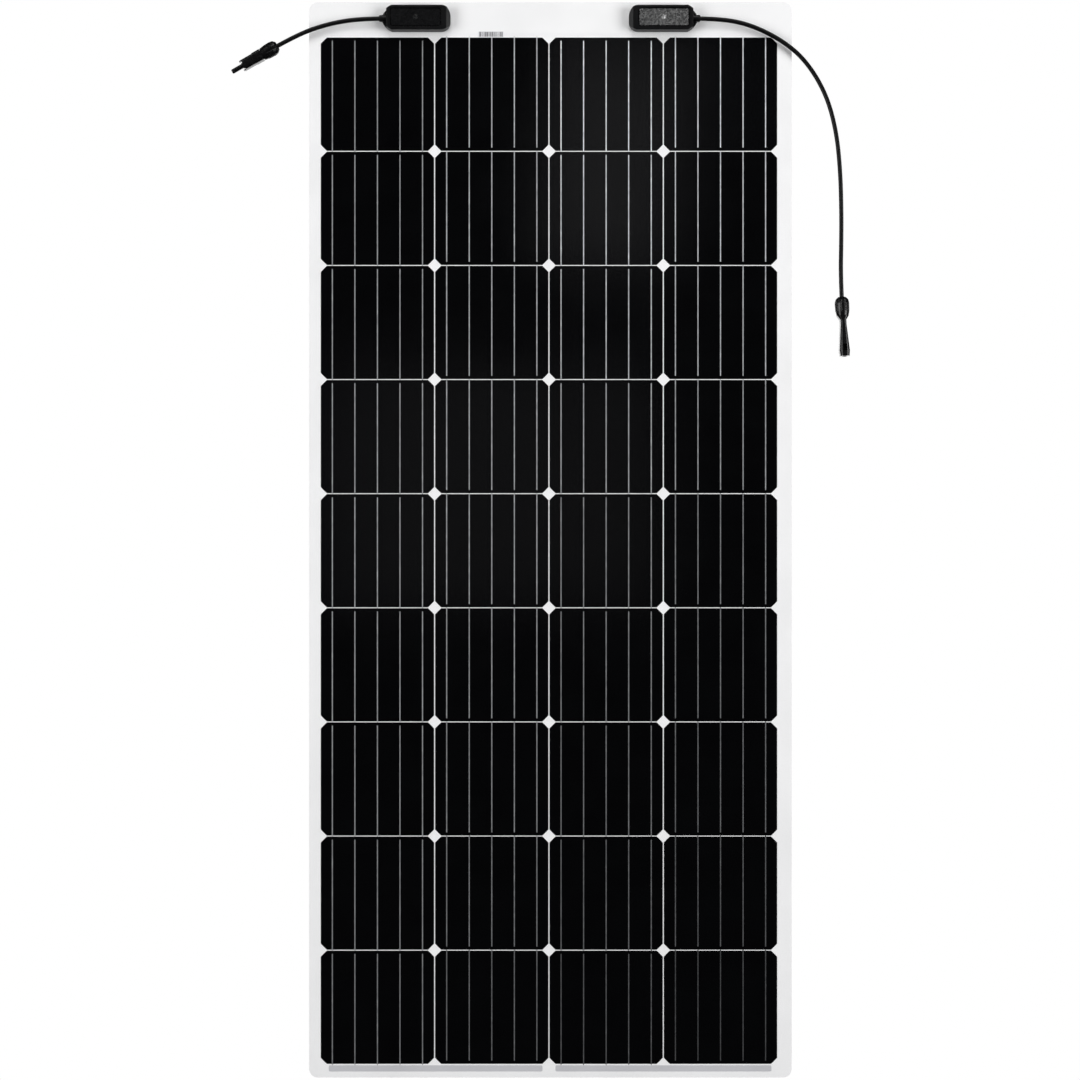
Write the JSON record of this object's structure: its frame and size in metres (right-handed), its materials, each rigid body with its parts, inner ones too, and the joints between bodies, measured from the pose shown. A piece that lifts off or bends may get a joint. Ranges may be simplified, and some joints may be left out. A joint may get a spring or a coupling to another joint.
{
  "type": "flexible solar sheet",
  "caption": "Frameless flexible solar sheet with a grid of black cells, junction boxes on its face and short cables with connectors.",
  "frame": {"origin": "middle of the sheet's rear face", "axes": "+Z out of the sunny face, +Y along the sheet towards the junction boxes, +X across it"},
  "size_m": [0.8523, 1.488, 0.0198],
  "materials": {
    "clear_film": "clear fluoropolymer film with a fine pressed texture",
    "encapsulant": "clear cured encapsulant",
    "silicon": "near-black textured silicon with an antireflective coat",
    "tinned_copper": "tinned copper ribbon",
    "white_sheet": "white polymer rear sheet",
    "label": "printed film label with plain bars",
    "black_housing": "black moulded plastic, fine spark texture",
    "black_lid": "black moulded plastic, satin",
    "black_rubber": "black rubber",
    "adhesive": "foam bonding tape",
    "copper": "tinned copper alloy",
    "diode_plastic": "moulded epoxy",
    "potting": "black silicone potting",
    "cable_jacket": "black cross-linked cable jacket",
    "connector_plastic": "black moulded plastic"
  },
  "bodies": {
    "strip_1": {"adhesive_pads": "adhesive", "box_potting": "potting", "bypass_diodes": "diode_plastic", "cable_grommets": "black_rubber", "cells_1": "silicon", "front_encapsulant_1": "encapsulant", "front_film_1": "clear_film", "left_box_base": "black_housing", "left_cable": "cable_jacket", "lid_gaskets": "black_rubber", "probe_cable_seal": "black_rubber", "probe_clamp_cage": "connector_plastic", "probe_contact": "copper", "probe_housing": "connector_plastic", "probe_ring_seal": "black_rubber", "rear_encapsulant_1": "encapsulant", "rear_sheet_1": "white_sheet", "ribbons_1": "tinned_copper", "right_box_base": "black_housing", "right_cable": "cable_jacket", "serial_label": "label", "shell_cable_seal": "black_rubber", "shell_clamp_cage": "connector_plastic", "shell_contact": "copper", "shell_housing": "connector_plastic", "terminal_plates": "copper", "top_bus_ribbons": "tinned_copper"},
    "strip_2": {"front_film_2": "clear_film", "front_encapsulant_2": "encapsulant", "cells_2": "silicon", "ribbons_2": "tinned_copper", "rear_encapsulant_2": "encapsulant", "rear_sheet_2": "white_sheet"},
    "strip_3": {"front_film_3": "clear_film", "front_encapsulant_3": "encapsulant", "cells_3": "silicon", "ribbons_3": "tinned_copper", "rear_encapsulant_3": "encapsulant", "rear_sheet_3": "white_sheet"},
    "strip_4": {"front_film_4": "clear_film", "front_encapsulant_4": "encapsulant", "cells_4": "silicon", "ribbons_4": "tinned_copper", "rear_encapsulant_4": "encapsulant", "rear_sheet_4": "white_sheet"},
    "strip_5": {"front_film_5": "clear_film", "front_encapsulant_5": "encapsulant", "cells_5": "silicon", "ribbons_5": "tinned_copper", "rear_encapsulant_5": "encapsulant", "rear_sheet_5": "white_sheet", "bottom_bus_ribbons": "tinned_copper"},
    "left_lid": {"left_box_lid": "black_lid"},
    "right_lid": {"right_box_lid": "black_lid"},
    "probe_nut": {"probe_cap_nut": "connector_plastic"},
    "shell_nut": {"shell_cap_nut": "connector_plastic"},
    "finger_a": {"latch_finger_a": "connector_plastic"},
    "finger_b": {"latch_finger_b": "connector_plastic"}
  },
  "joints": [
    {"name": "sheet_bend", "type": "hinge", "parent": "strip_1", "child": "strip_2", "pos_m": [0, 0.538, 0.00125], "axis": [1, 0, 0], "range_deg": [-7.5, 7.5], "stiffness_Nm_per_rad": 20},
    {"name": "sheet_bend_2", "type": "hinge", "parent": "strip_2", "child": "strip_3", "pos_m": [0, 0.2221, 0.00125], "axis": [1, 0, 0], "range_deg": [-7.5, 7.5], "stiffness_Nm_per_rad": 20},
    {"name": "sheet_bend_3", "type": "hinge", "parent": "strip_3", "child": "strip_4", "pos_m": [0, -0.0938, 0.00125], "axis": [1, 0, 0], "range_deg": [-7.5, 7.5], "stiffness_Nm_per_rad": 20},
    {"name": "sheet_bend_4", "type": "hinge", "parent": "strip_4", "child": "strip_5", "pos_m": [0, -0.4097, 0.00125], "axis": [1, 0, 0], "range_deg": [-7.5, 7.5], "stiffness_Nm_per_rad": 20},
    {"name": "left_lid_lift", "type": "slide", "parent": "strip_1", "child": "left_lid", "axis": [0, 0, 1], "range_m": [0, 0.02]},
    {"name": "right_lid_lift", "type": "slide", "parent": "strip_1", "child": "right_lid", "axis": [0, 0, 1], "range_m": [0, 0.02]},
    {"name": "probe_nut_turn", "type": "hinge", "parent": "strip_1", "child": "probe_nut", "pos_m": [-0.3866, 0.67552, 0.0099], "axis": [-0.8669, -0.4985, 0], "range_deg": [0, 360]},
    {"name": "shell_nut_turn", "type": "hinge", "parent": "strip_1", "child": "shell_nut", "pos_m": [0.40219, 0.32281, 0.0099], "axis": [0.0489, -0.9988, 0], "range_deg": [0, 360]},
    {"name": "latch_a_press", "type": "hinge", "parent": "strip_1", "child": "finger_a", "pos_m": [-0.4059, 0.65692, 0.0099], "axis": [0, 0, -1], "range_deg": [0, 4.5], "stiffness_Nm_per_rad": 0.5},
    {"name": "latch_b_press", "type": "hinge", "parent": "strip_1", "child": "finger_b", "pos_m": [-0.41238, 0.66819, 0.0099], "axis": [0, 0, 1], "range_deg": [0, 4.5], "stiffness_Nm_per_rad": 0.5}
  ],
  "couplings": [
    {"joint": "sheet_bend_2", "follows": "sheet_bend", "ratio": 1},
    {"joint": "sheet_bend_3", "follows": "sheet_bend", "ratio": 1},
    {"joint": "sheet_bend_4", "follows": "sheet_bend", "ratio": 1}
  ]
}
